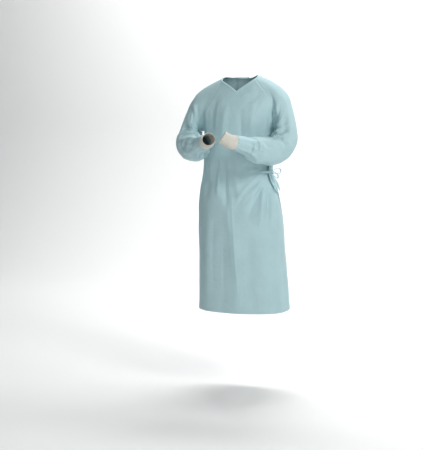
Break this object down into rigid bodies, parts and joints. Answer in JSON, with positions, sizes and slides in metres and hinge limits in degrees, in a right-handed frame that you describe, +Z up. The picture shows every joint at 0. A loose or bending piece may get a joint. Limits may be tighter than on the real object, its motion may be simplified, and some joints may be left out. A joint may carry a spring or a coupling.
{
  "type": "surgical gown",
  "caption": "Long-sleeved surgical gown in its worn shape, open and hollow, with raglan sleeves, knit cuffs, a V neck, a wrapped back and a side bow.",
  "frame": {"origin": "midway between the two high shoulder points of the neck opening, where the wearer's shoulders hold the gown up", "axes": "+Z up along the gown, -Y out of its front, +X towards the gown's own left side"},
  "size_m": [0.6003, 0.5213, 1.1547],
  "materials": {
    "gown_cloth": "soft matt nonwoven cloth, pale blue green",
    "tie_cloth": "folded strips of the same nonwoven cloth",
    "cuff_knit": "matt ribbed knit, off-white"
  },
  "bodies": {
    "root": {"front_panel": "gown_cloth", "back_panel_left": "gown_cloth", "back_panel_right": "gown_cloth", "sleeve_left": "gown_cloth", "sleeve_right": "gown_cloth", "neck_binding": "gown_cloth", "cuff_left": "cuff_knit", "cuff_right": "cuff_knit", "neck_tab": "tie_cloth", "tie_front": "tie_cloth", "tie_back": "tie_cloth", "tie_knot": "tie_cloth", "bow_loop_front": "tie_cloth", "bow_loop_back": "tie_cloth", "tie_tail_front": "tie_cloth", "tie_tail_back": "tie_cloth"}
  },
  "joints": []
}
